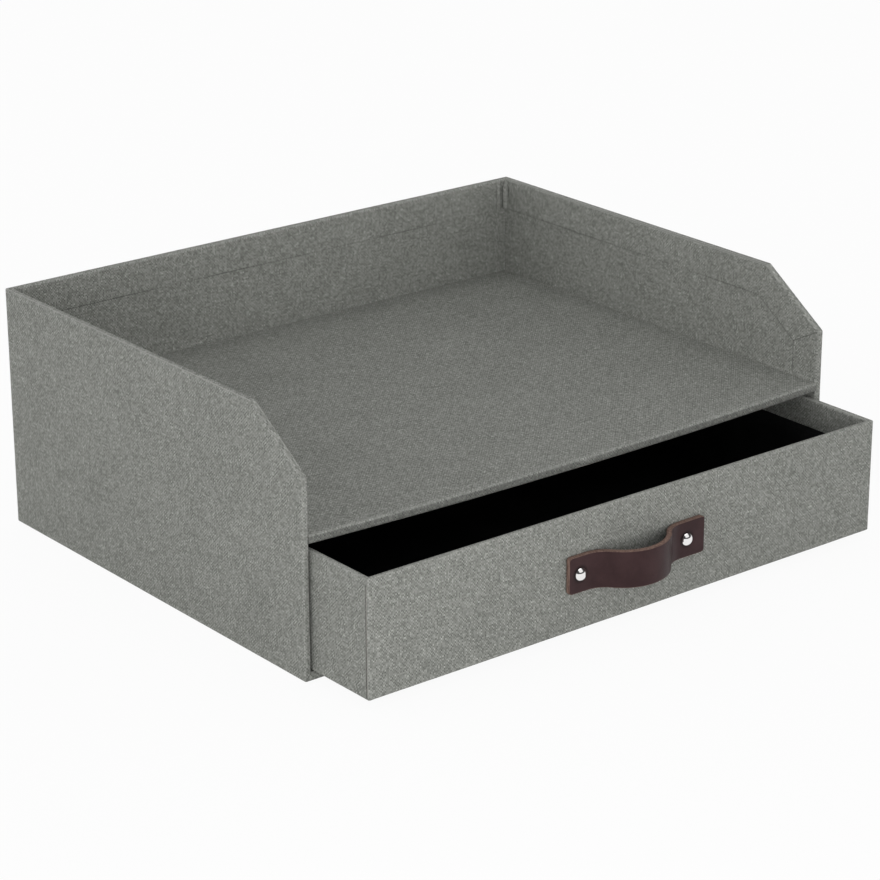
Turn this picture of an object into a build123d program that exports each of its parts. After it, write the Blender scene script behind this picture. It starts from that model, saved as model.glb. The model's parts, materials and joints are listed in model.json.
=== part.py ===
from build123d import *
import os
from math import atan2, degrees, sin

os.makedirs("parts", exist_ok=True)

# An open-fronted desk tray with a drawer under it.
# Greyboard panels are wrapped in woven book cloth, which is turned in over every free edge,
# and lined inside. All sizes are in millimetres.
# X runs to the right, Y to the back and Z up. The origin is the middle of the case's underside.

# covering
cover = 0.4                 # book cloth or lining paper, with its glue
edge_round = 0.9            # outer radius of the cloth where it goes over a board's edge

# case
case_width = 330.0
case_depth = 253.0
case_height = 127.0
wall_board = 2.5
base_board = 3.5
slope_run = 39.2            # how far back the sloped front corner starts on the rim
slope_drop = 26.6           # how far down it comes on the front edge
case_turn_in = 17.4         # cloth turned in inside the walls, along every free edge
case_turn_under = 15.0      # cloth turned under the base

# shelf: floor of the tray and roof of the drawer bay
bay_height = 63.5
shelf_board = 4.0
shelf_sag = 2.7             # the front edge hangs this far in the middle, the back edge not at all
shelf_edge_round = 1.2      # outer radius of the cloth round its front edge
shelf_turn_under = 20.0
ceiling_slack = 0.05        # between the curved faces of the shelf board and the paper under it

# drawer
drawer_board = 1.8
drawer_out = 41.9           # how far the drawer stands open
drawer_side_gap = 1.2       # on each side, to the bay's lining
drawer_back_gap = 1.2       # behind the closed drawer
drawer_floor_gap = 0.5
drawer_headroom = 0.5       # under the lowest point of the shelf
drawer_turn_in = 15.0
drawer_turn_under = 15.0

# strap pull
strap_width = 18.8
strap_thickness = 2.7
strap_corner = 2.0
tail_left = 6.9             # from the stud to the strap's end
tail_right = 11.8
stud_spacing = 67.8
stud_offset = -3.5          # middle between the studs, from the middle of the drawer
bow_inset = 4.0             # flat leather between a stud and the bow
bow_rise = 14.1             # how far the bow lifts the leather off the drawer
bow_foot_radius = 15.0      # middle of the leather, where it turns away from the drawer

# studs and their screws
stud_diameter = 7.8
stud_height = 2.5
stud_lip = 0.3              # upright edge under the dome
barrel_diameter = 4.0
barrel_gap = 0.1            # round the barrel, and between its end and the screw's head
screw_diameter = 2.5
screw_gap = 0.05            # round the shank in the barrel
screw_length = 4.2
screw_head_diameter = 8.4
screw_head_height = 1.1
screw_slot_width = 1.0
screw_slot_depth = 0.5

# faces of the case, worked out from the sizes above
case_side = case_width / 2
case_front = -case_depth / 2
case_back = case_depth / 2
board_side = case_side - cover                   # outer face of the side boards
board_side_inner = board_side - wall_board
inner_side = board_side_inner - cover            # inner face of the side linings
board_back = case_back - cover
board_back_inner = board_back - wall_board
inner_back = board_back_inner - cover
base_top = cover + base_board + cover
shelf_bottom = base_top + bay_height
shelf_thickness = cover + shelf_board + cover
shelf_top = shelf_bottom + shelf_thickness

# faces of the drawer where it stands
drawer_side = inner_side - drawer_side_gap
drawer_front = case_front - drawer_out
drawer_back = drawer_front + (inner_back - case_front) - drawer_back_gap
drawer_bottom = base_top + drawer_floor_gap
drawer_top = shelf_bottom - shelf_sag - drawer_headroom
drawer_wall = cover + drawer_board + cover
drawer_floor = drawer_bottom + drawer_wall       # top of the floor lining
drawer_middle = (drawer_bottom + drawer_top) / 2
stud_places = {"left": stud_offset - stud_spacing / 2, "right": stud_offset + stud_spacing / 2}


def block(x, y, z):
    """Box between two places along each axis."""
    corner = Pos(min(x), min(y), min(z))
    size = [max(pair) - min(pair) for pair in (x, y, z)]
    return corner * Box(*size, align=(Align.MIN, Align.MIN, Align.MIN))


def side_outline(inset):
    """The case from the side, with its sloped front corner, drawn in by inset."""
    corners = [
        (case_front, 0),
        (case_back, 0),
        (case_back, case_height),
        (case_front + slope_run, case_height),
        (case_front, case_height - slope_drop),
    ]
    outline = make_face(Polyline(*corners, close=True))
    if inset:
        outline = offset(outline, -inset, kind=Kind.INTERSECTION)
    return Plane.YZ * outline


def side_panel(x, inset):
    """A panel with the case's side outline between two places along X."""
    panel = extrude(side_outline(inset), amount=max(x) - min(x))
    return Pos(min(x), 0, 0) * panel


def mirrored(solid):
    return mirror(solid, about=Plane.YZ)


# ---- case boards

def side_boards():
    left = side_panel((-board_side, -board_side_inner), cover)
    return {"side_board_left": left, "side_board_right": mirrored(left)}


def back_board():
    across = (-board_side_inner, board_side_inner)
    return block(across, (board_back_inner, board_back), (cover, case_height - cover))


def base_panel():
    across = (-board_side_inner, board_side_inner)
    return block(across, (case_front + cover, board_back_inner), (cover, cover + base_board))


# ---- linings of the case, let in flush with the cloth that is turned in

def tray_linings():
    above = (shelf_bottom, case_height)
    through = (-board_side_inner, -inner_side)
    upright = (shelf_bottom, case_height - case_turn_in)
    window = side_panel(through, case_turn_in) & block(through, (case_front, inner_back), above)
    left = window + block(through, (0, inner_back), upright)
    back = block(
        (-board_side_inner, board_side_inner),
        (inner_back, board_back_inner),
        upright,
    )
    return {
        "tray_lining_left": left,
        "tray_lining_right": mirrored(left),
        "tray_lining_back": back,
    }


def bay_linings():
    depth = (case_front + case_turn_in, inner_back)
    upright = (base_top, shelf_bottom)
    left = block((-board_side_inner, -inner_side), depth, upright)
    across = (-board_side_inner, board_side_inner)
    back = block(across, (inner_back, board_back_inner), upright)
    floor = block(across, (depth[0], board_back_inner), (base_top - cover, base_top))
    return {
        "bay_lining_left": left,
        "bay_lining_right": mirrored(left),
        "bay_lining_back": back,
        "bay_lining_floor": floor,
    }


def base_paper():
    side = case_side - case_turn_under
    return block(
        (-side, side),
        (case_front + case_turn_under, case_back - case_turn_under),
        (0, cover),
    )


def case_wrap(inner_pieces):
    """Cloth over the outside, round every free edge and turned in: the shell less what it covers."""
    shell = side_panel((-case_side, case_side), 0)
    shell -= block((-inner_side, inner_side), (case_front, inner_back), (base_top, case_height))
    shell = fillet(free_edges(shell, inner_side, (case_front, inner_back), base_top), edge_round)
    for piece in inner_pieces:
        shell -= piece
    return shell


def free_edges(shell, side, depth, floor):
    """The edges of an open box that cloth goes round: all but the corners inside it."""
    def inside(edge):
        middle = edge @ 0.5
        on_side = abs(abs(middle.X) - side) < 0.01
        on_end = min(abs(middle.Y - place) for place in depth) < 0.01
        on_floor = abs(middle.Z - floor) < 0.01
        return on_side, on_end, on_floor

    free = []
    for edge in shell.edges():
        on_side, on_end, on_floor = inside(edge)
        within = abs((edge @ 0.5).X) < side + 0.01
        corner = on_side + on_end + on_floor >= 2 and within
        if not corner:
            free.append(edge)
    return free


# ---- shelf, a plate whose front edge hangs in the middle

def shelf_slab(low, high):
    """Ruled plate from a straight back edge to an arched front edge, between two heights."""
    def section(y, sag):
        plane = Plane((0, y, 0), x_dir=(1, 0, 0), z_dir=(0, -1, 0))
        edges = []
        for height in (low, high):
            left = (-inner_side, height)
            right = (inner_side, height)
            if sag:
                edges.append(ThreePointArc(left, (0, height - sag), right))
            else:
                edges.append(Line(left, right))
        edges.append(Line((-inner_side, low), (-inner_side, high)))
        edges.append(Line((inner_side, low), (inner_side, high)))
        return plane * make_face(edges)

    return loft([section(inner_back, 0), section(case_front, shelf_sag)], ruled=True)


def shelf():
    everywhere = (-case_side, case_side)
    heights = (shelf_bottom - case_height, shelf_top + case_height)
    board = shelf_slab(shelf_bottom + cover, shelf_top - cover)
    board &= block(everywhere, (case_front + cover, inner_back), heights)
    papered = block(everywhere, (case_front + shelf_turn_under, inner_back), heights)
    ceiling = shelf_slab(shelf_bottom, shelf_bottom + cover - ceiling_slack) & papered
    ceiling_room = shelf_slab(shelf_bottom, shelf_bottom + cover) & papered
    wrap = shelf_slab(shelf_bottom, shelf_top)
    front_edges = [edge for edge in wrap.edges().group_by(Axis.Y)[0] if edge.length > case_side]
    wrap = fillet(front_edges, shelf_edge_round)
    wrap -= board
    wrap -= ceiling_room
    return {"shelf_board": board, "shelf_wrap": wrap, "bay_lining_ceiling": ceiling}


# ---- drawer

def drawer_boards():
    side = drawer_side - cover
    side_inner = side - drawer_board
    front = drawer_front + cover
    back = drawer_back - cover
    upright = (drawer_bottom + cover, drawer_top - cover)
    between = (front + drawer_board, back - drawer_board)
    left = block((-side, -side_inner), between, upright)
    lying = (drawer_bottom + cover, drawer_floor - cover)
    return {
        "drawer_front_board": block((-side, side), (front, front + drawer_board), upright),
        "drawer_back_board": block((-side, side), (back - drawer_board, back), upright),
        "drawer_side_board_left": left,
        "drawer_side_board_right": mirrored(left),
        "drawer_bottom_board": block((-side_inner, side_inner), between, lying),
    }


def drawer_linings():
    side = drawer_side - drawer_wall
    side_board = side + cover
    front = drawer_front + drawer_wall
    back = drawer_back - drawer_wall
    upright = (drawer_floor, drawer_top - drawer_turn_in)
    left = block((-side_board, -side), (front, back), upright)
    across = (-side_board, side_board)
    depth = (front - cover, back + cover)
    return {
        "drawer_lining_front": block(across, (front - cover, front), upright),
        "drawer_lining_back": block(across, (back, back + cover), upright),
        "drawer_lining_left": left,
        "drawer_lining_right": mirrored(left),
        "drawer_floor_lining": block(across, depth, (drawer_floor - cover, drawer_floor)),
    }


def drawer_base_paper():
    side = drawer_side - drawer_turn_under
    depth = (drawer_front + drawer_turn_under, drawer_back - drawer_turn_under)
    return block((-side, side), depth, (drawer_bottom, drawer_bottom + cover))


def drawer_wrap(inner_pieces):
    side = drawer_side - drawer_wall
    depth = (drawer_front + drawer_wall, drawer_back - drawer_wall)
    shell = block((-drawer_side, drawer_side), (drawer_front, drawer_back), (drawer_bottom, drawer_top))
    shell -= block((-side, side), depth, (drawer_floor, drawer_top))
    shell = fillet(free_edges(shell, side, depth, drawer_floor), edge_round)
    for piece in inner_pieces:
        shell -= piece
    return shell


def pull_holes():
    """The way of both barrels through the strap and the drawer's front."""
    reach = (drawer_front - strap_thickness - stud_height, drawer_front + drawer_wall)
    holes = []
    for x in stud_places.values():
        holes.append(rod(x, reach, barrel_diameter / 2 + barrel_gap))
    return holes


def rod(x, reach, radius):
    """Cylinder along Y at the height of the studs."""
    bar = Cylinder(radius, max(reach) - min(reach), align=(Align.CENTER, Align.CENTER, Align.MAX))
    return Pos(x, min(reach), drawer_middle) * Rot(90, 0, 0) * bar


# ---- strap pull

def strap():
    """Flat leather, bowed between the studs, with tails beyond them, and rounded at its corners."""
    middle_line = drawer_front - strap_thickness / 2
    left_end = stud_places["left"] - tail_left
    right_end = stud_places["right"] + tail_right
    bow_start = stud_places["left"] + bow_inset
    half_bow = stud_spacing / 2 - bow_inset
    turn = 2 * atan2(bow_rise, half_bow)
    crown_radius = half_bow / sin(turn) - bow_foot_radius
    angle = degrees(turn)

    tail = Line((left_end, middle_line), (bow_start, middle_line))
    rise = JernArc(tail @ 1, tail % 1, bow_foot_radius, -angle)
    crown = JernArc(rise @ 1, rise % 1, crown_radius, 2 * angle)
    fall = JernArc(crown @ 1, crown % 1, bow_foot_radius, -angle)
    end = Line(fall @ 1, (right_end, middle_line))
    band = trace(tail + rise + crown + fall + end, strap_thickness)
    leather = extrude(band, amount=strap_width)
    leather = Pos(0, 0, drawer_middle - strap_width / 2) * leather

    ends = leather.edges().filter_by(Axis.Y)
    leather = fillet(ends, strap_corner)
    for hole in pull_holes():
        leather -= hole
    return leather


def stud(x):
    """Domed head with a barrel that is bored for the screw."""
    seat = drawer_front - strap_thickness
    head = stud_diameter / 2
    barrel = barrel_diameter / 2
    bore = screw_diameter / 2 + screw_gap
    barrel_length = strap_thickness + drawer_wall - barrel_gap
    bore_length = screw_length + screw_gap
    rise = stud_height - stud_lip
    dome = RadiusArc((0, stud_height), (head, stud_lip), (head**2 + rise**2) / (2 * rise))
    outline = Polyline(
        (0, stud_height),
        (0, bore_length - barrel_length - barrel_gap),
        (bore, bore_length - barrel_length - barrel_gap),
        (bore, -barrel_length),
        (barrel, -barrel_length),
        (barrel, 0),
        (head, 0),
        (head, stud_lip),
    )
    profile = Plane.XZ * make_face([dome, outline])
    turned = revolve(profile, Axis.Z)
    return Pos(x, seat, drawer_middle) * Rot(90, 0, 0) * turned


def screw(x):
    """Slotted screw whose head lies on the lining inside the drawer."""
    seat = drawer_front + drawer_wall
    body = rod(x, (seat - screw_length, seat), screw_diameter / 2)
    body += rod(x, (seat, seat + screw_head_height), screw_head_diameter / 2)
    slot = block(
        (x - screw_head_diameter, x + screw_head_diameter),
        (seat + screw_head_height - screw_slot_depth, seat + screw_head_height),
        (drawer_middle - screw_slot_width / 2, drawer_middle + screw_slot_width / 2),
    )
    return body - slot


def build():
    pieces = {}
    pieces.update(side_boards())
    pieces["back_board"] = back_board()
    pieces["base_board"] = base_panel()
    pieces.update(tray_linings())
    pieces.update(bay_linings())
    pieces["base_paper"] = base_paper()
    pieces["case_wrap"] = case_wrap(list(pieces.values()))
    pieces.update(shelf())

    drawer = drawer_boards()
    drawer.update(drawer_linings())
    drawer["drawer_base_paper"] = drawer_base_paper()
    drawer["drawer_wrap"] = drawer_wrap(list(drawer.values()))
    for name in ("drawer_front_board", "drawer_lining_front", "drawer_wrap"):
        for hole in pull_holes():
            drawer[name] -= hole
    drawer["pull_strap"] = strap()
    for hand, x in stud_places.items():
        drawer["pull_stud_" + hand] = stud(x)
        drawer["pull_screw_" + hand] = screw(x)
    pieces.update(drawer)
    return pieces


for name, piece in build().items():
    export_step(piece, f"parts/{name}.step")
    box = piece.bounding_box()
    print(f"{name:26s} {len(piece.solids())} solid  {piece.volume:10.1f} mm3  "
          f"{box.size.X:7.2f} {box.size.Y:7.2f} {box.size.Z:7.2f}")
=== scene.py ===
import json
from math import atan2, cos, hypot, pi, radians, sin, sqrt
from types import SimpleNamespace

import bmesh
import bpy
from mathutils import Euler, Matrix, Vector, noise


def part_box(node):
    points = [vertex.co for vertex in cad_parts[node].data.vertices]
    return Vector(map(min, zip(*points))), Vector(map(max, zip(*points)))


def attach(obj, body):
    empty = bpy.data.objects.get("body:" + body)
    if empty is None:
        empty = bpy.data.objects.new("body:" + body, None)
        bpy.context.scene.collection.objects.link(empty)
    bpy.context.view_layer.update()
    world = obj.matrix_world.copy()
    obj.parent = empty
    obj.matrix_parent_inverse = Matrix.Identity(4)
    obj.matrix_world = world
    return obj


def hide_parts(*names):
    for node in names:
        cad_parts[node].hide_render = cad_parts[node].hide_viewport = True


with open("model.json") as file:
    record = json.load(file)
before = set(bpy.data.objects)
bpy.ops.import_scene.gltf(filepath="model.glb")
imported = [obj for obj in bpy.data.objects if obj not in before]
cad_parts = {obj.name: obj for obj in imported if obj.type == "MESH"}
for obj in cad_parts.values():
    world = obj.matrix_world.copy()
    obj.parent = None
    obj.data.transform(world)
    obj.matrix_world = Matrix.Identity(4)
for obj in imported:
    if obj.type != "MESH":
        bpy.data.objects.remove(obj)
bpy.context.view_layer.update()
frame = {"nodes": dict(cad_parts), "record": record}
scene = bpy.context.scene
mm = 0.001
near = 0.01 * mm        # places closer than this are the same
print("frame loaded:", len(frame["nodes"]), "nodes")


class Term:
    # a socket that can be added, multiplied and so on; each step is one Math node
    def __init__(self, graph, socket):
        self.graph = graph
        self.socket = socket

    def math(self, operation, *others):
        sockets = dict(enumerate((self,) + others))
        return self.graph.node("ShaderNodeMath", {"operation": operation}, sockets)

    def reflected(self, operation, other):
        return self.graph.node("ShaderNodeMath", {"operation": operation}, {0: other, 1: self})

    def __add__(self, other):
        return self.math("ADD", other)

    def __radd__(self, other):
        return self.reflected("ADD", other)

    def __sub__(self, other):
        return self.math("SUBTRACT", other)

    def __rsub__(self, other):
        return self.reflected("SUBTRACT", other)

    def __mul__(self, other):
        return self.math("MULTIPLY", other)

    def __rmul__(self, other):
        return self.reflected("MULTIPLY", other)

    def __truediv__(self, other):
        return self.math("DIVIDE", other)

    def __pow__(self, other):
        return self.math("POWER", other)

    def __gt__(self, other):
        return self.math("GREATER_THAN", other)

    def absolute(self):
        return self.math("ABSOLUTE")

    def floor(self):
        return self.math("FLOOR")

    def fraction(self):
        return self.math("FRACT")

    def parity(self):
        return self.math("PINGPONG", 1)

    def least(self, other):
        return self.math("MINIMUM", other)

    def most(self, other):
        return self.math("MAXIMUM", other)

    def fade(self, low, high):
        # 0 below low, 1 above high, smooth between them
        settings = {"interpolation_type": "SMOOTHSTEP"}
        sockets = {"Value": self, "From Min": low, "From Max": high}
        return self.graph.node("ShaderNodeMapRange", settings, sockets)


class Graph:
    # the nodes of one material or of the world
    def __init__(self, owner, outputKind):
        owner.use_nodes = True
        self.tree = owner.node_tree
        self.tree.nodes.clear()
        self.output = self.tree.nodes.new(outputKind)

    def feed(self, socket, value):
        if isinstance(value, Term):
            self.tree.links.new(value.socket, socket)
        else:
            socket.default_value = value

    def node(self, kind, settings, sockets, output=0):
        made = self.tree.nodes.new(kind)
        for key, value in settings.items():
            setattr(made, key, value)
        for key, value in sockets.items():
            self.feed(made.inputs[key], value)
        return Term(self, made.outputs[output])

    def parts(self, vector):
        split = self.node("ShaderNodeSeparateXYZ", {}, {"Vector": vector})
        return [Term(self, output) for output in split.socket.node.outputs]

    def blend(self, factor, first, second):
        sockets = {0: factor, 6: first, 7: second}
        return self.node("ShaderNodeMix", {"data_type": "RGBA"}, sockets, 2)

    def ray(self, kind):
        return self.node("ShaderNodeLightPath", {}, {}, "Is " + kind + " Ray")

    def sight(self):
        # 1 for what the camera, a reflection or a clear surface sees
        return self.ray("Camera").most(self.ray("Glossy")).most(self.ray("Transmission"))

    def mixShaders(self, factor, first, second):
        mix = self.node("ShaderNodeMixShader", {}, {0: factor, 1: first, 2: second})
        self.feed(self.output.inputs["Surface"], mix)


class Finish(Graph):
    # a material on the Principled shader
    def __init__(self, name, **constants):
        self.material = bpy.data.materials.new(name)
        super().__init__(self.material, "ShaderNodeOutputMaterial")
        self.shader = self.tree.nodes.new("ShaderNodeBsdfPrincipled")
        self.tree.links.new(self.shader.outputs[0], self.output.inputs["Surface"])
        for socket, value in constants.items():
            self.set(socket.replace("_", " "), value)

    def set(self, socket, value):
        self.feed(self.shader.inputs[socket], value)

    def place(self):
        return self.node("ShaderNodeTexCoord", {}, {}, "Object")

    def facing(self):
        return self.node("ShaderNodeTexCoord", {}, {}, "Normal")

    def vector(self, x, y, z):
        return self.node("ShaderNodeCombineXYZ", {}, {"X": x, "Y": y, "Z": z})

    def stretch(self, vector, scale):
        return self.node("ShaderNodeVectorMath", {"operation": "MULTIPLY"}, {0: vector, 1: scale})

    def mask(self, name):
        return self.node("ShaderNodeAttribute", {"attribute_name": name}, {}, "Fac")

    def cloud(self, vector, scale, detail, roughness):
        sockets = {"Vector": vector, "Scale": scale, "Detail": detail, "Roughness": roughness}
        return self.node("ShaderNodeTexNoise", {}, sockets)

    def chance(self, vector):
        return self.node("ShaderNodeTexWhiteNoise", {"noise_dimensions": "3D"}, {"Vector": vector})

    def roughen(self, look, share):
        # least roughness, and how much more where share is 1
        least, more = look["roughness"]
        self.set("Roughness", least + more * share)

    def relief(self, look, height):
        depth, strength = look["relief"]
        sockets = {"Height": height, "Distance": depth, "Strength": strength}
        self.set("Normal", self.node("ShaderNodeBump", {}, sockets))


def rgb(red, green, blue):
    return (red, green, blue, 1.0)


# In the looks, scales are in repeats a metre. Roughness is the least and what is added at most,
# relief is the depth and how strongly it shows, and a fade runs from its first value to its last.

bookClothLook = {
    "dark": rgb(0.076, 0.081, 0.070),
    "light": rgb(0.505, 0.513, 0.479),
    # paler rubbed cloth, also used as painted highlight along rounded edges, rims and pleat ridges
    "wornAndHighlit": rgb(0.400, 0.402, 0.380),
    "shadow": rgb(0.030, 0.031, 0.028),
    "pitch": 0.81 * mm,
    "sideFacing": 0.75,         # how squarely a face looks sideways or up to be woven that way
    "topFacing": 0.9,
    "weaveContrast": 0.17,      # the weft is paler than the warp
    "yarnContrast": 0.30,
    "yarnStep": 5.3,            # how little one yarn's tone has to do with the next
    "yarnScale": 240,
    "crossContrast": 0.33,
    "slubContrast": 0.13,
    "slubScales": (1100, 60),
    "mottleContrast": 0.10,
    "mottleScale": 28,
    "fleckShare": 0.95,
    "fleckTone": 0.22,
    "toneCurve": 1.35,
    "wear": (0.10, 0.35),       # least, and how much more on some crossings
    "roughness": (0.82, 0.12),
    "relief": (0.10 * mm, 0.8),
    "reliefShares": (0.7, 0.3, 0.5),    # of the yarns' backs, the crossings and the slubs
}


def bookCloth(look):
    # plain weave: yarns of uneven tone cross over and under, with slubs and pale flecks
    finish = Finish("bookCloth", Specular_IOR_Level=0.25)
    x, y, z = finish.parts(finish.place())
    facing = finish.parts(finish.facing())
    onSide = facing[0].absolute() > look["sideFacing"]
    onTop = facing[2].absolute() > look["topFacing"]
    across = x + (y - x) * onSide
    along = z + (y - z) * onTop
    face = onSide * 3 + onTop * 7

    column = across / look["pitch"]
    row = along / look["pitch"]
    columnCell = column.floor()
    rowCell = row.floor()
    over = (columnCell + rowCell).parity()

    # each yarn has its own tone, which wanders along its length; a number added to face
    # keeps one pattern apart from the others
    step = look["yarnStep"]
    scale = look["yarnScale"]
    warp = finish.vector(columnCell * step, along * scale, face)
    weft = finish.vector(across * scale, rowCell * step, face + 20)
    warpTone, weftTone = [finish.cloud(yarns, 1.0, 3.0, 0.6) for yarns in (warp, weft)]
    yarn = weftTone + (warpTone - weftTone) * over
    crossing = finish.chance(finish.vector(columnCell, rowCell, face))
    fine, long = look["slubScales"]
    slubUp = finish.cloud(finish.vector(across * fine, along * long, face + 40), 1.0, 2.0, 0.5)
    slubAcross = finish.cloud(finish.vector(across * long, along * fine, face + 60), 1.0, 2.0, 0.5)
    scale = look["mottleScale"]
    mottle = finish.cloud(finish.vector(across * scale, along * scale, face), 1.0, 3.0, 0.55)

    tone = 0.5 + (yarn - 0.5) * look["yarnContrast"] + (0.5 - over) * look["weaveContrast"]
    tone = tone + (crossing - 0.5) * look["crossContrast"]
    tone = tone + (slubUp + slubAcross - 1.0) * look["slubContrast"]
    tone = tone + (mottle - 0.5) * look["mottleContrast"]
    tone = tone.most(0.0) ** look["toneCurve"]
    fleck = finish.chance(finish.vector(columnCell, rowCell, face + 30)) > look["fleckShare"]

    # this mask pales the cloth where it is rubbed and also paints highlights along rims, folds and
    # ridges
    leastWearAndHighlight, moreWearAndHighlight = look["wear"]
    wear = finish.mask("wear") * (leastWearAndHighlight + moreWearAndHighlight * crossing)
    colour = finish.blend(tone + fleck * look["fleckTone"], look["dark"], look["light"])
    colour = finish.blend(wear, colour, look["wornAndHighlit"])
    # the gap mask paints shade: under flap edges, in mitres, creases, seams and pleat sides, and on the
    # shelf's front face
    colour = finish.blend(finish.mask("gap"), colour, look["shadow"])
    finish.set("Base Color", colour)
    finish.roughen(look, crossing)

    # rounded yarn backs, crossing over and under
    warpBack = (column.fraction() - 0.5).absolute()
    weftBack = (row.fraction() - 0.5).absolute()
    back = weftBack + (warpBack - weftBack) * over
    backShare, crossShare, slubShare = look["reliefShares"]
    height = (1.0 - back * back * 4) * backShare + crossing * crossShare + slubUp * slubShare
    finish.relief(look, height)
    return finish.material


leatherLook = {
    "hide": rgb(0.037, 0.0190, 0.0200),
    "hidePale": rgb(0.052, 0.0275, 0.0285),
    "cut": rgb(0.310, 0.210, 0.170),
    "cutDark": rgb(0.140, 0.086, 0.070),
    # colour of the painted shadow round the studs
    "dimpleShade": rgb(0.012, 0.007, 0.007),
    "cloudScale": 60,
    "cloudFade": (0.35, 0.72),
    "pebble": 0.7 * mm,
    "pebbleFade": (0.0, 0.25),
    "grainScale": 1800,
    "fibreScales": (900, 900, 250),
    "fibreFade": (0.3, 0.7),
    "roughness": (0.36, 0.14),
    "cutRoughness": 0.40,
    "coat": 0.04,
    "relief": (0.035 * mm, 0.7),
    "reliefShares": (0.7, 0.3),     # of the pebbles and the grain
}


def strapLeather(look):
    # dyed smooth hide with a fine pebbled grain, and paler fibres on its cut edges
    finish = Finish("strapLeather", Specular_IOR_Level=0.09, Coat_Roughness=0.30)
    place = finish.place()
    cells = finish.node(
        "ShaderNodeTexVoronoi",
        {"feature": "DISTANCE_TO_EDGE"},
        {"Vector": place, "Scale": 1 / look["pebble"]},
    )
    cloud = finish.cloud(place, look["cloudScale"], 4.0, 0.6)
    grain = finish.cloud(place, look["grainScale"], 2.0, 0.6)
    fibre = finish.cloud(finish.stretch(place, look["fibreScales"]), 1.0, 3.0, 0.7)
    cut = finish.mask("cut")
    colour = finish.blend(cloud.fade(*look["cloudFade"]), look["hide"], look["hidePale"])
    cutColour = finish.blend(fibre.fade(*look["fibreFade"]), look["cutDark"], look["cut"])
    colour = finish.blend(cut, colour, cutColour)
    # the gap mask paints shadow round the studs
    colour = finish.blend(finish.mask("gap"), colour, look["dimpleShade"])
    finish.set("Base Color", colour)
    least, more = look["roughness"]
    finish.set("Roughness", least + more * cloud + look["cutRoughness"] * cut)
    finish.set("Coat Weight", look["coat"] - look["coat"] * cut)
    pebbleShare, grainShare = look["reliefShares"]
    pebbles = cells.fade(*look["pebbleFade"])
    finish.relief(look, pebbles * pebbleShare + grain * grainShare + fibre * cut)
    return finish.material


paperLook = {
    "black": rgb(0.0065, 0.0066, 0.0072),
    "fibre": rgb(0.018, 0.018, 0.019),
    "fibreScales": (1400, 500, 1400),
    "fibreFade": (0.3, 0.9),
    "cloudScale": 35,
    "roughness": (0.8, 0.15),
    "relief": (0.02 * mm, 1.0),
}


def liningPaper(look):
    # uncoated black paper with short fibres
    finish = Finish("liningPaper", Specular_IOR_Level=0.2)
    place = finish.place()
    fibre = finish.cloud(finish.stretch(place, look["fibreScales"]), 1.0, 3.0, 0.65)
    cloud = finish.cloud(place, look["cloudScale"], 3.0, 0.5)
    share = (fibre * cloud * 2).fade(*look["fibreFade"])
    finish.set("Base Color", finish.blend(share, look["black"], look["fibre"]))
    finish.roughen(look, fibre)
    finish.relief(look, fibre)
    return finish.material


boardLook = {
    "dark": rgb(0.24, 0.225, 0.2),
    "light": rgb(0.42, 0.40, 0.37),
    "speck": rgb(0.09, 0.085, 0.08),
    "fibreScales": (600, 250, 1500),
    "speckScale": 1500,
    "speckFade": (0.68, 0.75),
    "speckShare": 0.7,
    "roughness": (0.82, 0.12),
    "relief": (0.05 * mm, 1.0),
}


def greyboard(look):
    # recycled grey board: fibres, dark specks and faint layers
    finish = Finish("greyboard", Specular_IOR_Level=0.2)
    place = finish.place()
    fibre = finish.cloud(finish.stretch(place, look["fibreScales"]), 1.0, 4.0, 0.7)
    speck = finish.cloud(place, look["speckScale"], 1.0, 0.5).fade(*look["speckFade"])
    colour = finish.blend(fibre, look["dark"], look["light"])
    finish.set("Base Color", finish.blend(speck * look["speckShare"], colour, look["speck"]))
    finish.roughen(look, fibre)
    finish.relief(look, fibre)
    return finish.material


studLook = {
    "dull": rgb(0.80, 0.785, 0.78),
    "bright": rgb(0.90, 0.885, 0.88),
    "hazeScale": 420,
    "hazeFade": (0.4, 0.8),
    "scratchScales": (300, 300, 4200),
    "roughness": (0.07, 0.1),
    "relief": (0.003 * mm, 0.3),
}


def polishedMetal(look):
    # plated stud: bright, with faint handling marks
    finish = Finish("polishedMetal", Metallic=1.0)
    place = finish.place()
    haze = finish.cloud(place, look["hazeScale"], 3.0, 0.6)
    scratch = finish.cloud(finish.stretch(place, look["scratchScales"]), 1.0, 2.0, 0.5)
    finish.set("Base Color", finish.blend(haze, look["dull"], look["bright"]))
    finish.roughen(look, haze.fade(*look["hazeFade"]))
    finish.relief(look, scratch)
    return finish.material


screwLook = {
    "dark": rgb(0.42, 0.42, 0.43),
    "light": rgb(0.62, 0.62, 0.62),
    "markScales": (2600, 300, 2600),
    "roughness": (0.26, 0.2),
    "relief": (0.006 * mm, 0.5),
}


def plainSteel(look):
    # turned screw head with fine marks from its cutter
    finish = Finish("plainSteel", Metallic=1.0)
    marks = finish.cloud(finish.stretch(finish.place(), look["markScales"]), 1.0, 3.0, 0.6)
    finish.set("Base Color", finish.blend(marks, look["dark"], look["light"]))
    finish.roughen(look, marks)
    finish.relief(look, marks)
    return finish.material


finishes = {
    "book_cloth": bookCloth(bookClothLook),
    "strap_leather": strapLeather(leatherLook),
    "lining_paper": liningPaper(paperLook),
    "greyboard": greyboard(boardLook),
    "stud_metal": polishedMetal(studLook),
    "screw_metal": plainSteel(screwLook),
}
for part in frame["record"]["subparts"]:
    node = frame["nodes"][part["node"]]
    node.data.materials.clear()
    node.data.materials.append(finishes[part["material_slot"]])
print("finishes made:", ", ".join(finishes))


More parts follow.
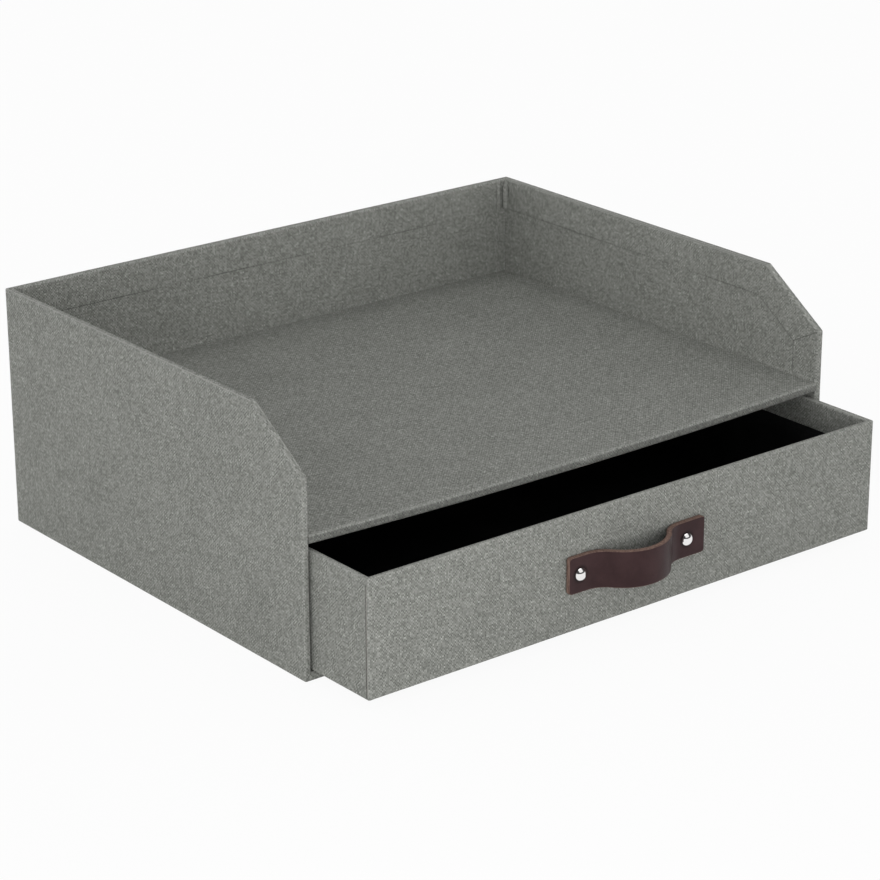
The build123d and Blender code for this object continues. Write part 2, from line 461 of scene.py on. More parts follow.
def addPiece(name, mesh, body, slot, replaced=()):
    piece = bpy.data.objects.new(name, mesh)
    scene.collection.objects.link(piece)
    mesh.materials.append(finishes[slot])
    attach(piece, body)
    if replaced:
        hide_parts(*replaced)
    print("piece made:", name, len(mesh.polygons), "faces")


def meshFrom(name, bm, sharpAngle=40):
    mesh = bpy.data.meshes.new(name)
    bmesh.ops.recalc_face_normals(bm, faces=bm.faces)
    bm.to_mesh(mesh)
    bm.free()
    mesh.shade_smooth()
    mesh.set_sharp_from_angle(angle=radians(sharpAngle))
    return mesh


def setMasks(mesh, **masks):
    for name, values in masks.items():
        attribute = mesh.attributes.new(name, "FLOAT", "POINT")
        attribute.data.foreach_set("value", values)


def solidFrom(points, faces):
    bm = bmesh.new()
    verts = [bm.verts.new(point) for point in points]
    for face in faces:
        bm.faces.new([verts[index] for index in face])
    bmesh.ops.recalc_face_normals(bm, faces=bm.faces)
    return bm


def skinOver(name, rings, sharpAngle):
    # closed skin over rings that have the same number of points
    bm = bmesh.new()
    rows = [[bm.verts.new(point) for point in ring] for ring in rings]
    count = len(rows[0])
    for first, second in zip(rows, rows[1:]):
        for index in range(count):
            after = (index + 1) % count
            bm.faces.new((first[index], first[after], second[after], second[index]))
    bm.faces.new(rows[0])
    bm.faces.new(rows[-1])
    return meshFrom(name, bm, sharpAngle)


def roundEdges(bm, radius):
    # rounds every outward edge and gives back where the sharp edges were
    sharp = [edge for edge in bm.edges if edge.calc_face_angle_signed(0) > radians(20)]
    lines = [(edge.verts[0].co.copy(), edge.verts[1].co.copy()) for edge in sharp]
    bmesh.ops.bevel(
        bm,
        geom=sharp,
        offset=radius,
        segments=3,
        profile=0.5,
        affect="EDGES",
        clamp_overlap=True,
    )
    return lines


def cutAcross(bm, normal, places):
    normal = Vector(normal).normalized()
    for place in places:
        everything = bm.verts[:] + bm.edges[:] + bm.faces[:]
        bmesh.ops.bisect_plane(bm, geom=everything, dist=2e-6, plane_co=normal * place, plane_no=normal)


def spaced(low, high, step):
    # evenly spaced places strictly between two ends
    count = max(1, round((high - low) / step))
    return [low + (high - low) * index / count for index in range(1, count)]


def quarter(steps):
    # evenly spaced angles of a quarter turn, with both ends
    return [pi / 2 * step / steps for step in range(steps + 1)]


def nearness(point, lines, reach):
    # 1 on one of the lines, fading to 0 at reach from all of them
    best = reach
    for start, end in lines:
        run = end - start
        share = max(0.0, min(1.0, (point - start).dot(run) / run.length_squared))
        best = min(best, (point - start - run * share).length)
    return 1 - best / reach


def insideBox(point, nodeName):
    low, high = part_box(nodeName)
    return low.x < point.x < high.x and low.y < point.y < high.y


def wander(point, size, broadScale=22, narrowScale=75):
    # smooth unevenness of hand-glued cloth, never outward
    broad = noise.noise(point * broadScale)
    narrow = noise.noise(point * narrowScale + Vector((7, 3, 5)))
    return size * min(0.0, 0.75 * broad + 0.35 * narrow - 0.4)


def patchy(point, scale=32):
    # 0 to 1, for lines that come and go along their length
    return max(0.0, min(1.0, 0.6 + 0.6 * noise.noise(point * scale)))


caseShape = {
    "slopeRun": 39.2 * mm,
    "slopeDrop": 26.6 * mm,
    "turnIn": 17.4 * mm,
    "edgeRound": 0.9 * mm,
    "collar": [1.4 * mm, 3.0 * mm],     # extra rows of points beside the rounded edges
    "flapLift": 0.4 * mm,       # the cloth that is turned in lies on the lining
    "flapOverlap": 0.3 * mm,
    "flapLine": 0.35 * mm,
    "flapFoot": 0.15 * mm,
    "behindLining": 0.6 * mm,
    "lineShadow": 0.6,
    "creaseWidth": 0.3 * mm,
    "creaseDepth": 0.35 * mm,
    "mitreShadow": 1.0,
    "mitreDepth": 0.25 * mm,
    "overPaper": 0.3 * mm,      # the cloth lies above the paper that covers its turned edge
    "unevenness": 0.10 * mm,
    "wearReach": 2.0 * mm,
    "step": 8.0 * mm,
}


def caseMeasures(shape):
    low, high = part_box("case_wrap")
    at = SimpleNamespace(side=high.x, front=low.y, back=high.y, top=high.z)
    at.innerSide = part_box("bay_lining_right")[0].x
    at.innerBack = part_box("bay_lining_back")[0].y
    at.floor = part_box("bay_lining_floor")[1].z
    at.slopeBack = at.front + shape["slopeRun"]
    at.slopeFoot = at.top - shape["slopeDrop"]
    at.slopeIn = Vector((0, shape["slopeDrop"], -shape["slopeRun"])).normalized()
    at.slopePlace = at.slopeIn.dot(Vector((0, at.slopeBack, at.top)))
    edge = shape["turnIn"] + shape["flapOverlap"]
    line = shape["flapLine"]
    at.border = [edge - 2 * line, edge - line, edge, edge + shape["flapFoot"]]
    return at


def caseShell(at):
    def outline(x, backPlace, bottom):
        return [
            Vector((x, at.front, bottom)),
            Vector((x, backPlace, bottom)),
            Vector((x, backPlace, at.top)),
            Vector((x, at.slopeBack, at.top)),
            Vector((x, at.front, at.slopeFoot)),
        ]

    points = []
    for side, backPlace, bottom in ((at.side, at.back, 0.0), (at.innerSide, at.innerBack, at.floor)):
        points += outline(-side, backPlace, bottom) + outline(side, backPlace, bottom)
    faces = [
        (0, 1, 2, 3, 4), (9, 8, 7, 6, 5),          # outer sides
        (1, 6, 7, 2), (0, 5, 6, 1),                # back, underside
        (10, 14, 13, 12, 11), (15, 16, 17, 18, 19),
        (11, 12, 17, 16), (10, 11, 16, 15),        # inner back, bay floor
        (3, 4, 14, 13), (8, 18, 19, 9),            # slopes
        (2, 3, 13, 12), (7, 17, 18, 8), (2, 12, 17, 7),
        (0, 4, 14, 10), (5, 15, 19, 9), (0, 10, 15, 5),
    ]
    return solidFrom(points, faces)


def slopeMitres(at):
    # planes where the turned-in cloth meets itself at both ends of the slope
    planes = []
    for y, z, first in (
        (at.front, at.slopeFoot, Vector((0, 1, 0))),
        (at.slopeBack, at.top, Vector((0, 0, -1))),
    ):
        along = (first + at.slopeIn).normalized()
        normal = Vector((0, -along.z, along.y))
        planes.append((normal, normal.dot(Vector((0, y, z)))))
    return planes


def bottomMitres(at):
    # planes of the folds at the bottom corners of the front
    planes = []
    for sign in (-1, 1):
        normal = Vector((sign * at.floor, 0, at.side - at.innerSide)).normalized()
        planes.append((normal, normal.dot(Vector((sign * at.side, 0, 0)))))
    return planes


def onPlanes(point, planes):
    return any(abs(normal.dot(point) - place) < 2 * near for normal, place in planes)


def cutCase(bm, at, planes, shape):
    half = shape["creaseWidth"] / 2
    collar = shape["collar"]
    edges = collar + at.border
    cutAcross(bm, (1, 0, 0), spaced(-at.side, at.side, shape["step"]))
    cutAcross(bm, (1, 0, 0), [sign * (at.side - inset) for sign in (-1, 1) for inset in collar])
    cutAcross(bm, (0, 1, 0), spaced(at.front, at.back, shape["step"]))
    cutAcross(bm, (0, 1, 0), [at.front + inset for inset in edges])
    cutAcross(bm, (0, 1, 0), [at.back - inset for inset in collar])
    cutAcross(bm, (0, 0, 1), spaced(0, at.top, shape["step"]))
    cutAcross(bm, (0, 0, 1), collar + [at.top - inset for inset in edges])
    cutAcross(bm, at.slopeIn, [at.slopePlace + inset for inset in edges])
    for normal, place in planes:
        cutAcross(bm, normal, [place - half, place, place + half])


def insideRelief(point, at, mitres, shape):
    # how far the cloth moves on the inner faces, and the painted shade under the flap's edge and in the
    # mitre creases
    shift = Vector((0, 0, 0))
    gap = 0.0
    onSide = abs(abs(point.x) - at.innerSide) < near
    onBack = abs(point.y - at.innerBack) < near
    onFloor = abs(point.z - at.floor) < near
    within = abs(point.x) < at.innerSide + near and point.y < at.innerBack + near
    if not (within and point.z > at.floor - near and (onSide or onBack or onFloor)):
        return shift, gap

    # distance from the free edges of the wall
    depth = at.top - point.z
    if not onBack:
        depth = min(depth, point.y - at.front, at.slopeIn.dot(point) - at.slopePlace)
    turned = at.border[2] + 2 * near
    flap = depth < turned
    reach = shape["flapLift"] if flap else -shape["behindLining"]
    onLine = at.border[1] - 2 * near < depth < at.border[3] + 2 * near and not onFloor
    onCrease = onSide and flap and depth > shape["edgeRound"] and onPlanes(point, mitres)
    if onCrease:
        reach -= shape["creaseDepth"]
    if onLine or onCrease:
        gap = shape["lineShadow"] * patchy(point)
    if onSide:
        shift.x = -reach if point.x > 0 else reach
    if onBack:
        shift.y = -reach
    if onFloor and point.y - at.front > turned:
        shift.z = -shape["behindLining"]
    return shift, gap


def caseCloth(shape):
    at = caseMeasures(shape)
    bottoms = bottomMitres(at)
    slopes = slopeMitres(at)
    bm = caseShell(at)
    folds = roundEdges(bm, shape["edgeRound"])
    cutCase(bm, at, bottoms + slopes, shape)
    bm.normal_update()
    paintedShades = []
    for vert in bm.verts:
        point = vert.co.copy()
        shift, gap = insideRelief(point, at, slopes, shape)
        if point.z < near and insideBox(point, "base_paper"):
            shift.z = shape["overPaper"]
        # painted shadow in the folds at the front's bottom corners
        onFront = point.z < at.floor + near and point.y < at.front + shape["edgeRound"] / 2
        if onFront and onPlanes(point, bottoms):
            gap = shape["mitreShadow"]
            shift.y = shape["mitreDepth"]
        vert.co = point + shift + vert.normal * wander(point, shape["unevenness"])
        paintedShades.append(gap)
    # wear and painted highlight along the rounded folds
    wears = [nearness(vert.co, folds, shape["wearReach"]) for vert in bm.verts]
    mesh = meshFrom("caseCloth", bm, 50)
    setMasks(mesh, wear=wears, gap=paintedShades)
    addPiece("case_cloth", mesh, "case", "book_cloth", ("case_wrap",))


caseCloth(caseShape)


# strips of cloth over the tray's rear corners, where the turned-in cloth was cut

pleatShape = {
    "fromRim": 0.8 * mm,
    "length": 16.6 * mm,
    "sway": 0.35 * mm,
    "swayScale": 110,
    "leastSwell": 0.45,
    "rows": 14,
    # sections: mm along the back wall, mm along the side wall, painted shadow, wear with painted
    # highlight on the ridges
    "corner": (
        (3.1, -0.3, 0.0, 0.0), (3.1, 0.35, 1.0, 0.0), (2.5, 0.75, 0.3, 0.3), (1.9, 1.3, 0.0, 0.9),
        (1.3, 1.7, 0.0, 1.0), (0.8, 2.2, 0.0, 0.6), (0.45, 2.9, 0.4, 0.2), (0.35, 3.4, 1.0, 0.0),
        (-0.3, 3.4, 0.0, 0.0), (-0.3, -0.3, 0.0, 0.0),
    ),
    "wall": (
        (4.0, -0.3, 0.0, 0.0), (4.0, 0.3, 1.0, 0.0), (4.4, 0.85, 0.3, 0.4), (5.0, 1.15, 0.0, 1.0),
        (5.8, 1.05, 0.0, 0.9), (6.5, 0.75, 0.0, 0.4), (7.0, 0.4, 0.6, 0.0), (7.0, -0.3, 0.0, 0.0),
    ),
}


def addPleat(kind, hand, sign, shape):
    profile = shape[kind]
    corner = Vector((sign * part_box("bay_lining_right")[0].x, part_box("bay_lining_back")[0].y, 0))
    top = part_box("case_wrap")[1].z - shape["fromRim"]
    rings = []
    for row in range(shape["rows"] + 1):
        share = row / shape["rows"]
        height = top - shape["length"] * share
        # thin under the rim, then full, and a little thinner at the foot
        fullness = min(1.0, share * 4) * min(1.0, (1 - share) * 9 + 0.55)
        swell = shape["leastSwell"] + (1 - shape["leastSwell"]) * fullness
        sway = shape["sway"] * noise.noise(Vector((height * shape["swayScale"], sign, len(profile))))
        ring = []
        for back, side, shadow, wear in profile:
            back *= mm
            side *= mm
            if back > 0 and side > 0:
                back = back * (swell if kind == "corner" else 1.0) + sway
                side *= swell
            ring.append(Vector((corner.x - sign * back, corner.y - side, height)))
        rings.append(ring)
    name = kind + "_pleat_" + hand
    mesh = skinOver(name, rings, 60)
    shadows = [shadow for back, side, shadow, wear in profile] * len(rings)
    wears = [wear for back, side, shadow, wear in profile] * len(rings)
    setMasks(mesh, gap=shadows, wear=wears)
    addPiece(name, mesh, "case", "book_cloth")


for hand, sign in (("left", -1), ("right", 1)):
    addPleat("corner", hand, sign, pleatShape)
    addPleat("wall", hand, sign, pleatShape)


# ends of the shelf's cloth, lapped a little way up the side walls

lapShape = {
    "fromFront": 2.5 * mm,
    "length": 30.0 * mm,
    "height": 1.7 * mm,
    "thickness": 0.55 * mm,
    "behind": 0.2 * mm,
    "below": 0.3 * mm,
    "thinning": 0.75,       # shares lost from the front end to the rear end
    "lowering": 0.5,
    "unevenness": 0.2,
    # wear and painted highlight along the lap's rolled top
    "wears": [0.0, 0.1, 0.6, 0.9, 0.3],
    "rows": 16,
}


def shelfLap(hand, sign, shape):
    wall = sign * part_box("bay_lining_right")[0].x
    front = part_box("case_wrap")[0].y + shape["fromFront"]
    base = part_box("shelf_wrap")[1].z
    rings = []
    for row in range(shape["rows"] + 1):
        share = row / shape["rows"]
        thin = shape["thickness"] * (1 - shape["thinning"] * share)
        uneven = 1 + shape["unevenness"] * noise.noise(Vector((share * 9, sign, 2)))
        height = shape["height"] * (1 - shape["lowering"] * share) * uneven
        y = front + shape["length"] * share
        outline = [
            (-shape["behind"], -shape["below"]),
            (thin, -shape["below"]),
            (thin * 1.1, height * 0.6),
            (thin * 0.8, height),
            (-shape["behind"], height * 1.15),
        ]
        rings.append([Vector((wall - sign * away, y, base + rise)) for away, rise in outline])
    mesh = skinOver("shelfLap", rings, 60)
    setMasks(mesh, wear=shape["wears"] * len(rings))
    addPiece("shelf_lap_" + hand, mesh, "case", "book_cloth")


shelfLap("left", -1, lapShape)
shelfLap("right", 1, lapShape)


shelfShape = {
    "sag": 2.7 * mm,
    "edgeRound": 1.2 * mm,
    "underRound": 1.5 * mm,
    "faceShade": 0.35,          # painted shade on the front face, below its upper edge
    "unevenness": 0.12 * mm,
    "step": 5.0 * mm,
    "nearFront": 3.0 * mm,      # first row of points behind the front edge
    "nearEnd": 1.0 * mm,
    "wearReach": 2.0 * mm,
}


def shelfCloth(shape):
    low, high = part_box("shelf_wrap")
    half, front, back, top = high.x, low.y, high.y, high.z
    bottom = low.z + shape["sag"]
    radius = shape["edgeRound"]
    under = shape["underRound"]

    def hang(x):
        return shape["sag"] * (1 - (x / half) ** 2)

    profile = []
    for angle in quarter(4):
        profile.append((front + radius - radius * sin(angle), top - radius + radius * cos(angle)))
    for angle in quarter(6):
        profile.append((front + under - under * cos(angle), bottom + under - under * sin(angle)))
    rows = spaced(front + radius, back, shape["step"])[1:]
    profile += [(y, bottom) for y in rows]
    profile += [(back, bottom), (back, top)]
    profile += [(y, top) for y in reversed([front + shape["nearFront"]] + rows)]

    inner = half - shape["nearEnd"]
    rings = []
    for x in [-half, -inner] + spaced(-half, half, shape["step"]) + [inner, half]:
        ring = []
        for y, z in profile:
            share = (back - y) / (back - front)
            point = Vector((x, y, z - hang(x) * share))
            lean = wander(point, shape["unevenness"])
            ring.append(point + Vector((0, lean * 0.5 if y < front + radius else 0, lean)))
        rings.append(ring)
    mesh = skinOver("shelfCloth", rings, 50)

    # wear and painted highlight along the shelf's rounded front edges
    wears = []
    shades = []
    for vertex in mesh.vertices:
        height = vertex.co.z + hang(vertex.co.x)
        toEdge = min(hypot(vertex.co.y - front, height - z) for z in (top, bottom))
        wears.append(max(0.0, 1 - toEdge / shape["wearReach"]))
        # painted shade on the front face
        onFace = vertex.co.y < front + under and height < top - radius
        shades.append(shape["faceShade"] if onFace else 0.0)
    setMasks(mesh, wear=wears, gap=shades)
    addPiece("shelf_cloth", mesh, "case", "book_cloth", ("shelf_wrap",))


shelfCloth(shelfShape)


drawerShape = {
    "wall": 2.6 * mm,
    "turnIn": 15.0 * mm,
    "edgeRound": 0.9 * mm,
    "collar": [1.4 * mm, 3.0 * mm],
    "flapLift": 0.25 * mm,
    "flapOverlap": 0.2 * mm,
    "flapFoot": 0.15 * mm,
    "behindLining": 0.6 * mm,
    "lineShadow": 0.5,
    "seamFromCorner": 1.5 * mm,     # the cloth's lap, on the left side beside the front
    "seamWidth": 0.55 * mm,
    "seamLip": 0.25 * mm,
    "seamDepth": 0.45 * mm,
    "seamShadow": 1.0,
    "seamFromTop": 4.5 * mm,
    "overPaper": 0.3 * mm,
    "unevenness": 0.09 * mm,
    "wearReach": 1.8 * mm,
    "step": 8.0 * mm,
}


def drawerShell(low, high, wall, floor):
    def corners(inset, z):
        return [
            Vector((low.x + inset, low.y + inset, z)),
            Vector((high.x - inset, low.y + inset, z)),
            Vector((high.x - inset, high.y - inset, z)),
            Vector((low.x + inset, high.y - inset, z)),
        ]

    points = corners(0, low.z) + corners(0, high.z) + corners(wall, high.z) + corners(wall, floor)
    faces = [(3, 2, 1, 0), (12, 13, 14, 15)]
    for index in range(4):
        after = (index + 1) % 4
        for level in (0, 4, 8):
            faces.append((level + index, level + after, level + 4 + after, level + 4 + index))
    return solidFrom(points, faces)


def cutDrawer(bm, low, high, seam, border, shape):
    collar = shape["collar"]
    seamHalf = shape["seamWidth"] / 2
    lip = seamHalf + shape["seamLip"]
    cutAcross(bm, (1, 0, 0), spaced(low.x, high.x, shape["step"]))
    cutAcross(bm, (1, 0, 0), [sign * (high.x - inset) for sign in (-1, 1) for inset in collar])
    cutAcross(bm, (0, 1, 0), spaced(low.y, high.y, shape["step"]))
    cutAcross(bm, (0, 1, 0), [low.y + collar[1], high.y - collar[0], high.y - collar[1]])
    cutAcross(bm, (0, 1, 0), [seam - lip, seam - seamHalf, seam, seam + seamHalf, seam + lip])
    cutAcross(bm, (0, 0, 1), spaced(low.z, high.z, shape["step"]))
    cutAcross(bm, (0, 0, 1), [low.z + inset for inset in collar])
    cutAcross(bm, (0, 0, 1), [high.z - inset for inset in collar + border])
    cutAcross(bm, (0, 0, 1), [high.z - shape["seamFromTop"]])


def drawerCloth(shape):
    low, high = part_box("drawer_wrap")
    wall = shape["wall"]
    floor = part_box("drawer_floor_lining")[1].z
    seam = low.y + shape["seamFromCorner"]
    seamTop = high.z - shape["seamFromTop"]
    edge = shape["turnIn"] + shape["flapOverlap"]
    border = [edge, edge + shape["flapFoot"]]
    bm = drawerShell(low, high, wall, floor)
    folds = roundEdges(bm, shape["edgeRound"])
    cutDrawer(bm, low, high, seam, border, shape)
    bm.normal_update()

    innerX, innerFront, innerBack = high.x - wall, low.y + wall, high.y - wall
    paintedShades = []
    for vert in bm.verts:
        point = vert.co.copy()
        gap = 0.0
        shift = Vector((0, 0, 0))
        depth = high.z - point.z
        flap = depth < border[0] + 2 * near
        reach = shape["flapLift"] if flap else -shape["behindLining"]
        within = abs(point.x) < innerX + near and innerFront - near < point.y < innerBack + near
        if within and point.z > floor - near:
            if abs(abs(point.x) - innerX) < near:
                shift.x = -reach if point.x > 0 else reach
            if abs(point.y - innerFront) < near:
                shift.y = reach
            elif abs(point.y - innerBack) < near:
                shift.y = -reach
            if abs(point.z - floor) < near:
                shift.z = -shape["behindLining"]
            # painted shadow along the edge of the turned-in flap
            if not flap and depth < border[1] + 2 * near:
                gap = shape["lineShadow"]
        if point.z < low.z + near and insideBox(point, "drawer_base_paper"):
            shift.z = shape["overPaper"]
        # painted shadow in the lap seam's groove
        inSeam = abs(point.y - seam) < shape["seamWidth"] / 2 + near and point.z < seamTop + near
        if inSeam and abs(point.x - low.x) < near:
            shift.x = shape["seamDepth"]
            gap = shape["seamShadow"]
        bulge = wander(point + Vector((1, 1, 1)), shape["unevenness"])
        vert.co = point + shift + vert.normal * bulge
        paintedShades.append(gap)
    # wear and painted highlight along the rounded folds
    wears = [nearness(vert.co, folds, shape["wearReach"]) for vert in bm.verts]
    mesh = meshFrom("drawerCloth", bm, 50)
    setMasks(mesh, wear=wears, gap=paintedShades)
    addPiece("drawer_cloth", mesh, "drawer", "book_cloth", ("drawer_wrap",))


drawerCloth(drawerShape)


strapShape = {
    "thickness": 2.7 * mm,
    "bowRise": 14.1 * mm,
    "bowInset": 4.0 * mm,
    "footRadius": 15.0 * mm,
    "corner": 2.0 * mm,
    "edgeRound": 0.5 * mm,
    "endSqueeze": 0.45,         # share of its thickness that the strap loses at its ends
    "cutEnd": 0.2 * mm,
    "cutRim": 0.55,             # how much less of the cut shows where it meets the faces
    "waviness": 0.12 * mm,
    "waveScales": (60, 40),
    "dimple": 0.28 * mm,
    "dimpleReach": 6.5 * mm,
    "shadowRing": (3.7 * mm, 4.9 * mm),     # painted shadow ring round each stud, beside its dimple
    "shadow": 0.85,
    "endRows": [0, 0.15 * mm, 0.4 * mm, 0.8 * mm, 1.3 * mm, 2.0 * mm],
    "rows": 190,
    "columns": 18,
}


def strapLine(left, right, studs, shape):
    # straight tails, two small arcs and a wide crown: gives place and direction along the leather
    start = studs[0] + shape["bowInset"]
    halfBow = (studs[1] - studs[0]) / 2 - shape["bowInset"]
    turn = 2 * atan2(shape["bowRise"], halfBow)
    foot = shape["footRadius"]
    crown = halfBow / sin(turn) - foot
    pieces = [(start - left, 0.0), (foot * turn, 1 / foot), (2 * crown * turn, -1 / crown)]
    pieces += [(foot * turn, 1 / foot), (right - (start + 2 * halfBow), 0.0)]
    total = sum(length for length, bend in pieces)

    def at(distance):
        x, out, heading = left, 0.0, 0.0
        for length, bend in pieces:
            run = min(distance, length)
            if bend:
                after = heading + bend * run
                x += (sin(after) - sin(heading)) / bend
                out += (cos(heading) - cos(after)) / bend
                heading = after
            else:
                x += run * cos(heading)
                out += run * sin(heading)
            distance -= run
            if distance <= 0:
                break
        return x, out, heading

    return at, total


def strapSection(half, shape):
    # places across the strap and through it, round its section from the front face on
    halfThick = shape["thickness"] / 2
    radius = shape["edgeRound"]
    flat = half - radius
    columns = shape["columns"]
    points = [(flat * (2 * column / columns - 1), -halfThick) for column in range(columns + 1)]
    for angle in quarter(4)[1:]:
        points.append((flat + radius * sin(angle), -halfThick + radius - radius * cos(angle)))
    points.append((half, 0.0))
    for angle in quarter(4)[:-1]:
        points.append((flat + radius * cos(angle), halfThick - radius + radius * sin(angle)))
    return points + [(-across, -through) for across, through in points]


def pullStrap(shape):
    low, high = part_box("pull_strap")
    studs = [sum(corner.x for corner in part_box("pull_stud_" + hand)) / 2 for hand in ("left", "right")]
    at, total = strapLine(low.x, high.x, studs, shape)
    middle = (low.z + high.z) / 2
    halfWidth = (high.z - low.z) / 2
    halfThick = shape["thickness"] / 2
    radius = shape["edgeRound"]
    corner = shape["corner"]
    ringIn, ringOut = shape["shadowRing"]
    waveAlong, waveAcross = shape["waveScales"]

    def dimpleShade(x, across):
        # how much painted shadow lies on the face beside the studs, and how deep the dimples are
        shadow = 0.0
        dimple = 0.0
        for stud in studs:
            gap = hypot(x - stud, across)
            shadow = max(shadow, min(1.0, (ringOut - gap) / (ringOut - ringIn)))
            if gap < shape["dimpleReach"]:
                dimple += shape["dimple"] * (0.5 + 0.5 * cos(pi * gap / shape["dimpleReach"]))
        return shape["shadow"] * shadow, dimple

    ends = shape["endRows"]
    places = ends + spaced(ends[-1], total - ends[-1], total / shape["rows"])
    places += [total - end for end in reversed(ends)]
    rings = []
    cuts = []
    shadows = []
    for distance in places:
        x, out, heading = at(distance)
        fromEnd = min(distance, total - distance)
        inset = 0.0
        if fromEnd < corner:
            inset = corner - sqrt(corner ** 2 - (corner - fromEnd) ** 2)
        squeeze = 1.0
        if fromEnd <= radius:
            squeeze -= shape["endSqueeze"] * (1 - fromEnd / radius) ** 2
        ring = []
        for across, through in strapSection(halfWidth - inset, shape):
            through *= squeeze
            onEdge = abs(across) > halfWidth - inset - radius * 0.75 or fromEnd < shape["cutEnd"]
            cuts.append(1.0 - shape["cutRim"] * (abs(through) / halfThick) ** 2 if onEdge else 0.0)
            shadow, dimple = dimpleShade(x, across) if through < 0 else (0.0, 0.0)
            shadows.append(shadow)
            away = -through - dimple
            wavePlace = Vector((distance * waveAlong, across * waveAcross, 9))
            ring.append(Vector((
                x - away * sin(heading),
                high.y - halfThick - out - away * cos(heading),
                middle + across + shape["waviness"] * noise.noise(wavePlace),
            )))
        rings.append(ring)
    mesh = skinOver("pullStrap", rings, 60)
    setMasks(mesh, cut=cuts, gap=shadows)
    addPiece("pull_leather", mesh, "drawer", "strap_leather", ("pull_strap",))


pullStrap(strapShape)


studShape = {
    "height": 2.5 * mm,
    "dome": 3.4 * mm,           # radius of the dome; the flange round it is pressed into the leather
    "sunk": 0.25 * mm,
    "flangeRound": 0.1 * mm,
    "lip": 0.3 * mm,
    "barrel": 2.0 * mm,
    "bore": 1.3 * mm,
    "domeSteps": 14,
    "segments": 56,
}


def studOutline(radius, length, shape):
    # (distance from the axis, height over the leather), from the top of the dome to the bore's end
    dome, sunk, small = shape["dome"], shape["sunk"], shape["flangeRound"]
    rise = shape["height"] - shape["lip"]
    ball = (dome ** 2 + rise ** 2) / (2 * rise)
    openAngle = atan2(dome, ball - rise)
    outline = []
    for step in range(shape["domeSteps"] + 1):
        angle = openAngle * step / shape["domeSteps"]
        outline.append((ball * sin(angle), shape["height"] - ball + ball * cos(angle)))
    outline += [
        (dome, shape["lip"] * 0.5),
        (dome, -sunk),
        (radius - small, -sunk),
        (radius, -sunk - small),
        (radius - small, -sunk - 2 * small),
        (shape["barrel"], -sunk - 2 * small),
        (shape["barrel"], shape["height"] - length),
        (shape["bore"], shape["height"] - length),
        (shape["bore"], 0),
        (0, 0),
    ]
    return outline


def studHead(hand, shape):
    low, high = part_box("pull_stud_" + hand)
    middle = (low + high) / 2
    count = shape["segments"]
    bm = bmesh.new()
    rows = []
    for run, rise in studOutline((high.x - low.x) / 2, high.y - low.y, shape):
        y = low.y + shape["height"] - rise
        row = []
        for step in range(count if run else 1):
            angle = 2 * pi * step / count
            row.append(bm.verts.new((middle.x + run * cos(angle), y, middle.z + run * sin(angle))))
        rows.append(row)
    for first, second in zip(rows, rows[1:]):
        for step in range(count):
            after = (step + 1) % count
            corners = [first[step % len(first)], first[after % len(first)]]
            corners += [second[after % len(second)], second[step % len(second)]]
            bm.faces.new(list(dict.fromkeys(corners)))
    mesh = meshFrom("stud_" + hand, bm, 35)
    addPiece("stud_" + hand, mesh, "drawer", "stud_metal", ("pull_stud_" + hand,))


studHead("left", studShape)
studHead("right", studShape)


studio = {
    "floorSize": 6.0,
    "floorColour": rgb(0.84, 0.84, 0.84),
    "floorWhite": 0.94,
    "white": rgb(1.0, 1.0, 1.0),
    "horizon": 1.68,        # the surrounding light is strongest low down and fades to the zenith
    # what polished metal mirrors above the floor: a pale sweep, then a dark room with one window
    "darkRoom": rgb(0.06, 0.06, 0.06),
    "sweepTop": 0.16,
    "windowFoot": 0.46,
    "windowLeft": -0.38,
    "windowRight": 0.48,
    "windowBack": 0.20,
    "windowSoft": 0.08,
    "lampAim": Vector((0, 0, 0.05)),
}
lamps = {
    "top": {"place": (0.0, 0.2, 2.4), "size": 1.6, "power": 12.0, "mirrored": True},
    "left": {"place": (-1.5, 0.3, 0.8), "size": 0.7, "power": 0.6, "mirrored": False},
    "front": {"place": (-0.38, -0.60, 0.13), "size": 0.2, "power": 0.64, "mirrored": False},
}
# angles in degrees; lens and sensor in the camera's own millimetres
view = {
    "place": (-893.97 * mm, -1139.17 * mm, 589.97 * mm),
    "azimuth": -38.591,
    "elevation": 20.704,
    "roll": -0.167,
    "lens": 122.66,
    "sensor": 36.0,
    "clip": (0.05, 50),
}


def makeFloor(look):
    half = look["floorSize"] / 2
    corners = [(-half, -half, 0), (half, -half, 0), (half, half, 0), (-half, half, 0)]
    mesh = meshFrom("floor", solidFrom(corners, [(0, 1, 2, 3)]))
    floor = bpy.data.objects.new("floor", mesh)
    scene.collection.objects.link(floor)
    material = bpy.data.materials.new("paleFloor")
    mesh.materials.append(material)
    graph = Graph(material, "ShaderNodeOutputMaterial")
    matt = graph.node("ShaderNodeBsdfDiffuse", {}, {"Color": look["floorColour"]})
    white = graph.node("ShaderNodeEmission", {}, {"Color": look["white"]})
    graph.mixShaders(graph.sight() * look["floorWhite"], matt, white)


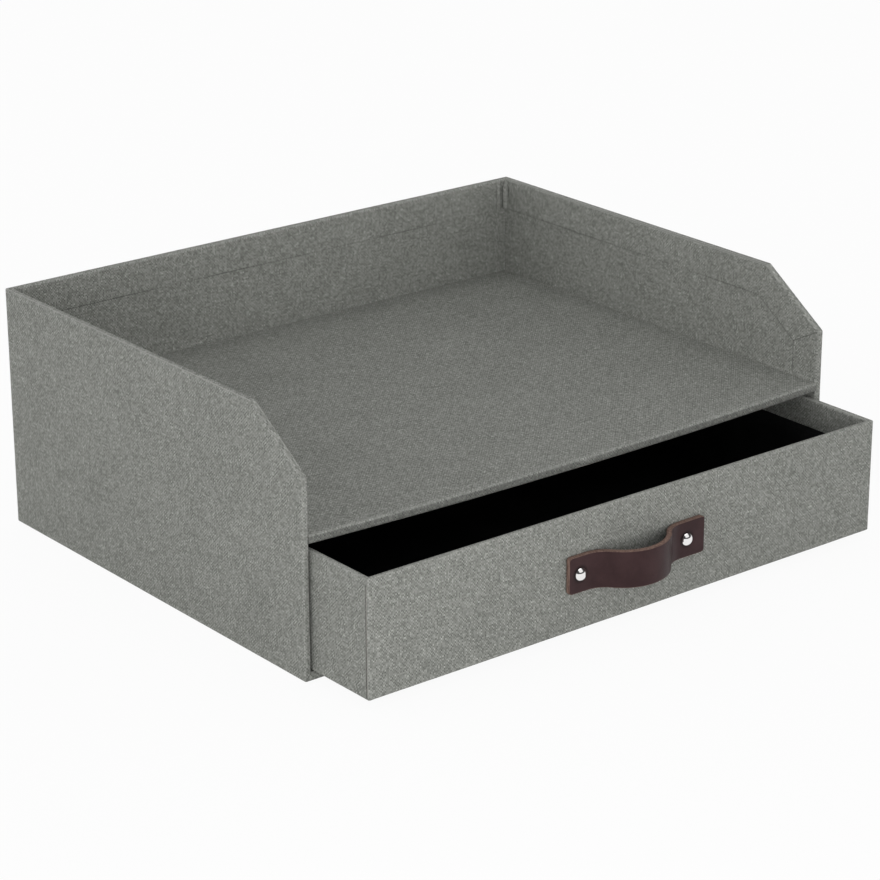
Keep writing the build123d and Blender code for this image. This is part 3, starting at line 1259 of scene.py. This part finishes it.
def makeWorld(look):
    scene.world = bpy.data.worlds.new("studio")
    graph = Graph(scene.world, "ShaderNodeOutputWorld")
    x, y, z = graph.parts(graph.node("ShaderNodeTexCoord", {}, {}, "Generated"))
    strength = (1.0 - z.most(0.0)) * look["horizon"]
    around = graph.node("ShaderNodeBackground", {}, {"Color": look["white"], "Strength": strength})

    # the room, for reflections only: dark above the floor, apart from the window
    soft = look["windowSoft"]
    above = z.fade(look["sweepTop"], look["sweepTop"] + soft)
    under = 1.0 - z.fade(look["windowFoot"], look["windowFoot"] + soft)
    leftOf = 1.0 - x.fade(look["windowLeft"] - soft, look["windowLeft"])
    rightOf = x.fade(look["windowRight"], look["windowRight"] + soft)
    behind = y.fade(look["windowBack"], look["windowBack"] + soft)
    wall = under.most(leftOf).most(rightOf).most(behind)
    room = above.least(wall).least(graph.ray("Glossy"))
    colour = graph.blend(room, look["white"], look["darkRoom"])
    seen = graph.node("ShaderNodeBackground", {}, {"Color": colour})
    graph.mixShaders(graph.sight(), around, seen)


def makeLamp(name, place, size, power, mirrored):
    lamp = bpy.data.lights.new(name, "AREA")
    lamp.shape = "SQUARE"
    lamp.size = size
    lamp.energy = power
    holder = bpy.data.objects.new(name, lamp)
    scene.collection.objects.link(holder)
    holder.location = place
    holder.visible_glossy = mirrored
    aim = studio["lampAim"] - Vector(place)
    holder.rotation_euler = aim.to_track_quat("-Z", "Y").to_euler()


def makeCamera(look):
    data = bpy.data.cameras.new("camera")
    data.lens = look["lens"]
    data.sensor_width = look["sensor"]
    data.clip_start, data.clip_end = look["clip"]
    camera = bpy.data.objects.new("camera", data)
    scene.collection.objects.link(camera)
    turn = Euler((radians(90 - look["elevation"]), 0, radians(look["azimuth"]))).to_matrix()
    turn = turn @ Matrix.Rotation(radians(look["roll"]), 3, "Z")
    camera.matrix_world = Matrix.Translation(look["place"]) @ turn.to_4x4()
    scene.camera = camera


scene.view_settings.view_transform = "Standard"
makeFloor(studio)
makeWorld(studio)
for name, values in lamps.items():
    makeLamp(name, **values)
makeCamera(view)
print("stage, lights and camera set")
